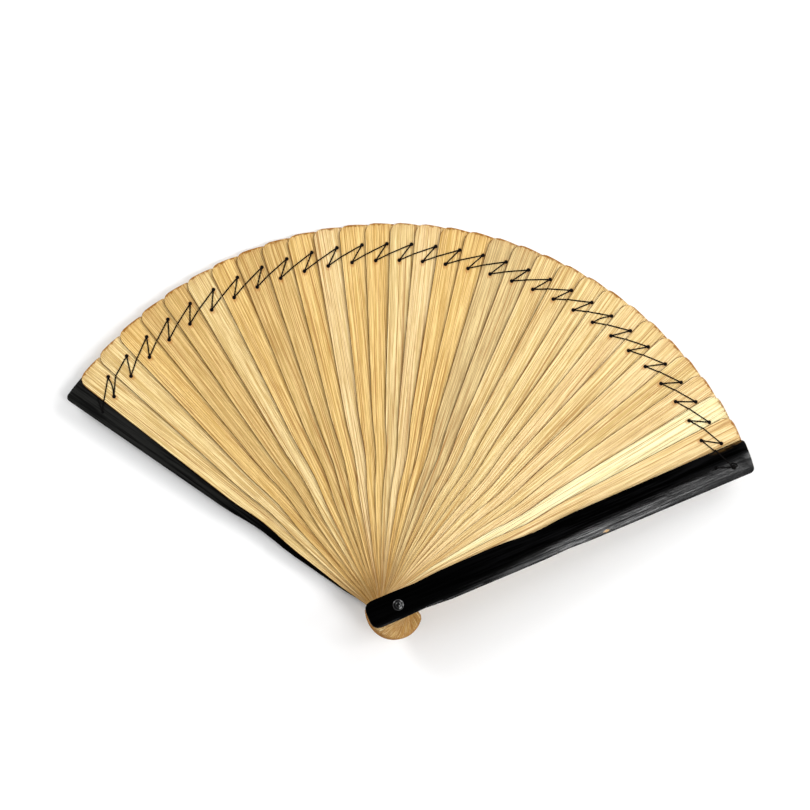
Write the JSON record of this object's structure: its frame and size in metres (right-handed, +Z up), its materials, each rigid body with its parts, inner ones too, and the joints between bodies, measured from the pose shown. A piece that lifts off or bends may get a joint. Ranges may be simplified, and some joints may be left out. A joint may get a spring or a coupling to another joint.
{
  "type": "folding fan",
  "caption": "Open folding fan of overlapping bamboo blades between black guards, turning on a rivet and laced near the tips with black thread.",
  "frame": {"origin": "middle of the flat rear face of the rivet's rear head, on the axis that every stick turns on", "axes": "+Y from the pivot towards the tips of the middle blades, +X towards the front guard's side, +Z up; the fan lies open as on a table, on its rivet and the tips of its middle blades, so the pivot's axis leans 4.5 degrees towards +X and 5.2 degrees towards +Y"},
  "size_m": [0.3792, 0.2296, 0.0417],
  "materials": {
    "bamboo": "dry split bamboo, fine lengthwise grain, scorched ends",
    "black_lacquer": "black lacquer over wood, satin, faint lengthwise grain",
    "black_rivet": "black enamelled metal, glossy",
    "black_thread": "twisted black thread, matt"
  },
  "bodies": {
    "rear_guard": {"rear_guard": "black_lacquer", "pivot_rivet": "black_rivet", "front_washer": "black_rivet", "lacing_front": "black_thread", "lacing_rear": "black_thread"},
    "blade_01": {"blade_01": "bamboo"},
    "blade_02": {"blade_02": "bamboo"},
    "blade_03": {"blade_03": "bamboo"},
    "blade_04": {"blade_04": "bamboo"},
    "blade_05": {"blade_05": "bamboo"},
    "blade_06": {"blade_06": "bamboo"},
    "blade_07": {"blade_07": "bamboo"},
    "blade_08": {"blade_08": "bamboo"},
    "blade_09": {"blade_09": "bamboo"},
    "blade_10": {"blade_10": "bamboo"},
    "blade_11": {"blade_11": "bamboo"},
    "blade_12": {"blade_12": "bamboo"},
    "blade_13": {"blade_13": "bamboo"},
    "blade_14": {"blade_14": "bamboo"},
    "blade_15": {"blade_15": "bamboo"},
    "blade_16": {"blade_16": "bamboo"},
    "blade_17": {"blade_17": "bamboo"},
    "blade_18": {"blade_18": "bamboo"},
    "blade_19": {"blade_19": "bamboo"},
    "blade_20": {"blade_20": "bamboo"},
    "blade_21": {"blade_21": "bamboo"},
    "blade_22": {"blade_22": "bamboo"},
    "blade_23": {"blade_23": "bamboo"},
    "blade_24": {"blade_24": "bamboo"},
    "blade_25": {"blade_25": "bamboo"},
    "blade_26": {"blade_26": "bamboo"},
    "blade_27": {"blade_27": "bamboo"},
    "blade_28": {"blade_28": "bamboo"},
    "blade_29": {"blade_29": "bamboo"},
    "blade_30": {"blade_30": "bamboo"},
    "front_guard": {"front_guard": "black_lacquer"}
  },
  "joints": [
    {"name": "front_guard_hinge", "type": "hinge", "parent": "rear_guard", "child": "front_guard", "pos_m": [0, 0, 0], "axis": [0.078, 0.0909, 0.9928], "range_deg": [0, 122], "deforming": ["lacing_front", "lacing_rear"]},
    {"name": "blade_01_hinge", "type": "hinge", "parent": "rear_guard", "child": "blade_01", "pos_m": [0, 0, 0], "axis": [0.078, 0.0909, 0.9928], "range_deg": [-0.5, 3.65]},
    {"name": "blade_02_hinge", "type": "hinge", "parent": "rear_guard", "child": "blade_02", "pos_m": [0, 0, 0], "axis": [0.078, 0.0909, 0.9928], "range_deg": [-0.5, 7.99]},
    {"name": "blade_03_hinge", "type": "hinge", "parent": "rear_guard", "child": "blade_03", "pos_m": [0, 0, 0], "axis": [0.078, 0.0909, 0.9928], "range_deg": [-0.5, 12.33]},
    {"name": "blade_04_hinge", "type": "hinge", "parent": "rear_guard", "child": "blade_04", "pos_m": [0, 0, 0], "axis": [0.078, 0.0909, 0.9928], "range_deg": [-0.5, 16.65]},
    {"name": "blade_05_hinge", "type": "hinge", "parent": "rear_guard", "child": "blade_05", "pos_m": [0, 0, 0], "axis": [0.078, 0.0909, 0.9928], "range_deg": [-0.5, 20.94]},
    {"name": "blade_06_hinge", "type": "hinge", "parent": "rear_guard", "child": "blade_06", "pos_m": [0, 0, 0], "axis": [0.078, 0.0909, 0.9928], "range_deg": [-0.5, 25.2]},
    {"name": "blade_07_hinge", "type": "hinge", "parent": "rear_guard", "child": "blade_07", "pos_m": [0, 0, 0], "axis": [0.078, 0.0909, 0.9928], "range_deg": [-0.5, 29.42]},
    {"name": "blade_08_hinge", "type": "hinge", "parent": "rear_guard", "child": "blade_08", "pos_m": [0, 0, 0], "axis": [0.078, 0.0909, 0.9928], "range_deg": [-0.5, 33.6]},
    {"name": "blade_09_hinge", "type": "hinge", "parent": "rear_guard", "child": "blade_09", "pos_m": [0, 0, 0], "axis": [0.078, 0.0909, 0.9928], "range_deg": [-0.5, 37.73]},
    {"name": "blade_10_hinge", "type": "hinge", "parent": "rear_guard", "child": "blade_10", "pos_m": [0, 0, 0], "axis": [0.078, 0.0909, 0.9928], "range_deg": [-0.5, 41.81]},
    {"name": "blade_11_hinge", "type": "hinge", "parent": "rear_guard", "child": "blade_11", "pos_m": [0, 0, 0], "axis": [0.078, 0.0909, 0.9928], "range_deg": [-0.5, 45.84]},
    {"name": "blade_12_hinge", "type": "hinge", "parent": "rear_guard", "child": "blade_12", "pos_m": [0, 0, 0], "axis": [0.078, 0.0909, 0.9928], "range_deg": [-0.5, 49.82]},
    {"name": "blade_13_hinge", "type": "hinge", "parent": "rear_guard", "child": "blade_13", "pos_m": [0, 0, 0], "axis": [0.078, 0.0909, 0.9928], "range_deg": [-0.5, 53.75]},
    {"name": "blade_14_hinge", "type": "hinge", "parent": "rear_guard", "child": "blade_14", "pos_m": [0, 0, 0], "axis": [0.078, 0.0909, 0.9928], "range_deg": [-0.5, 57.63]},
    {"name": "blade_15_hinge", "type": "hinge", "parent": "rear_guard", "child": "blade_15", "pos_m": [0, 0, 0], "axis": [0.078, 0.0909, 0.9928], "range_deg": [-0.5, 61.48]},
    {"name": "blade_16_hinge", "type": "hinge", "parent": "rear_guard", "child": "blade_16", "pos_m": [0, 0, 0], "axis": [0.078, 0.0909, 0.9928], "range_deg": [-0.5, 65.3]},
    {"name": "blade_17_hinge", "type": "hinge", "parent": "rear_guard", "child": "blade_17", "pos_m": [0, 0, 0], "axis": [0.078, 0.0909, 0.9928], "range_deg": [-0.5, 69.09]},
    {"name": "blade_18_hinge", "type": "hinge", "parent": "rear_guard", "child": "blade_18", "pos_m": [0, 0, 0], "axis": [0.078, 0.0909, 0.9928], "range_deg": [-0.5, 72.86]},
    {"name": "blade_19_hinge", "type": "hinge", "parent": "rear_guard", "child": "blade_19", "pos_m": [0, 0, 0], "axis": [0.078, 0.0909, 0.9928], "range_deg": [-0.5, 76.61]},
    {"name": "blade_20_hinge", "type": "hinge", "parent": "rear_guard", "child": "blade_20", "pos_m": [0, 0, 0], "axis": [0.078, 0.0909, 0.9928], "range_deg": [-0.5, 80.36]},
    {"name": "blade_21_hinge", "type": "hinge", "parent": "rear_guard", "child": "blade_21", "pos_m": [0, 0, 0], "axis": [0.078, 0.0909, 0.9928], "range_deg": [-0.5, 84.11]},
    {"name": "blade_22_hinge", "type": "hinge", "parent": "rear_guard", "child": "blade_22", "pos_m": [0, 0, 0], "axis": [0.078, 0.0909, 0.9928], "range_deg": [-0.5, 87.86]},
    {"name": "blade_23_hinge", "type": "hinge", "parent": "rear_guard", "child": "blade_23", "pos_m": [0, 0, 0], "axis": [0.078, 0.0909, 0.9928], "range_deg": [-0.5, 91.62]},
    {"name": "blade_24_hinge", "type": "hinge", "parent": "rear_guard", "child": "blade_24", "pos_m": [0, 0, 0], "axis": [0.078, 0.0909, 0.9928], "range_deg": [-0.5, 95.4]},
    {"name": "blade_25_hinge", "type": "hinge", "parent": "rear_guard", "child": "blade_25", "pos_m": [0, 0, 0], "axis": [0.078, 0.0909, 0.9928], "range_deg": [-0.5, 99.19]},
    {"name": "blade_26_hinge", "type": "hinge", "parent": "rear_guard", "child": "blade_26", "pos_m": [0, 0, 0], "axis": [0.078, 0.0909, 0.9928], "range_deg": [-0.5, 102.99]},
    {"name": "blade_27_hinge", "type": "hinge", "parent": "rear_guard", "child": "blade_27", "pos_m": [0, 0, 0], "axis": [0.078, 0.0909, 0.9928], "range_deg": [-0.5, 106.8]},
    {"name": "blade_28_hinge", "type": "hinge", "parent": "rear_guard", "child": "blade_28", "pos_m": [0, 0, 0], "axis": [0.078, 0.0909, 0.9928], "range_deg": [-0.5, 110.63]},
    {"name": "blade_29_hinge", "type": "hinge", "parent": "rear_guard", "child": "blade_29", "pos_m": [0, 0, 0], "axis": [0.078, 0.0909, 0.9928], "range_deg": [-0.5, 114.46]},
    {"name": "blade_30_hinge", "type": "hinge", "parent": "rear_guard", "child": "blade_30", "pos_m": [0, 0, 0], "axis": [0.078, 0.0909, 0.9928], "range_deg": [-0.5, 118.3]}
  ],
  "couplings": [
    {"joint": "blade_01_hinge", "follows": "front_guard_hinge", "ratio": 0.02582},
    {"joint": "blade_02_hinge", "follows": "front_guard_hinge", "ratio": 0.061427},
    {"joint": "blade_03_hinge", "follows": "front_guard_hinge", "ratio": 0.096963},
    {"joint": "blade_04_hinge", "follows": "front_guard_hinge", "ratio": 0.13236},
    {"joint": "blade_05_hinge", "follows": "front_guard_hinge", "ratio": 0.16754},
    {"joint": "blade_06_hinge", "follows": "front_guard_hinge", "ratio": 0.20246},
    {"joint": "blade_07_hinge", "follows": "front_guard_hinge", "ratio": 0.23706},
    {"joint": "blade_08_hinge", "follows": "front_guard_hinge", "ratio": 0.2713},
    {"joint": "blade_09_hinge", "follows": "front_guard_hinge", "ratio": 0.30515},
    {"joint": "blade_10_hinge", "follows": "front_guard_hinge", "ratio": 0.33859},
    {"joint": "blade_11_hinge", "follows": "front_guard_hinge", "ratio": 0.37161},
    {"joint": "blade_12_hinge", "follows": "front_guard_hinge", "ratio": 0.40423},
    {"joint": "blade_13_hinge", "follows": "front_guard_hinge", "ratio": 0.43646},
    {"joint": "blade_14_hinge", "follows": "front_guard_hinge", "ratio": 0.46832},
    {"joint": "blade_15_hinge", "follows": "front_guard_hinge", "ratio": 0.49987},
    {"joint": "blade_16_hinge", "follows": "front_guard_hinge", "ratio": 0.53114},
    {"joint": "blade_17_hinge", "follows": "front_guard_hinge", "ratio": 0.56219},
    {"joint": "blade_18_hinge", "follows": "front_guard_hinge", "ratio": 0.59307},
    {"joint": "blade_19_hinge", "follows": "front_guard_hinge", "ratio": 0.62385},
    {"joint": "blade_20_hinge", "follows": "front_guard_hinge", "ratio": 0.65458},
    {"joint": "blade_21_hinge", "follows": "front_guard_hinge", "ratio": 0.6853},
    {"joint": "blade_22_hinge", "follows": "front_guard_hinge", "ratio": 0.71606},
    {"joint": "blade_23_hinge", "follows": "front_guard_hinge", "ratio": 0.7469},
    {"joint": "blade_24_hinge", "follows": "front_guard_hinge", "ratio": 0.77784},
    {"joint": "blade_25_hinge", "follows": "front_guard_hinge", "ratio": 0.80889},
    {"joint": "blade_26_hinge", "follows": "front_guard_hinge", "ratio": 0.84006},
    {"joint": "blade_27_hinge", "follows": "front_guard_hinge", "ratio": 0.87133},
    {"joint": "blade_28_hinge", "follows": "front_guard_hinge", "ratio": 0.90269},
    {"joint": "blade_29_hinge", "follows": "front_guard_hinge", "ratio": 0.93412},
    {"joint": "blade_30_hinge", "follows": "front_guard_hinge", "ratio": 0.96557}
  ]
}
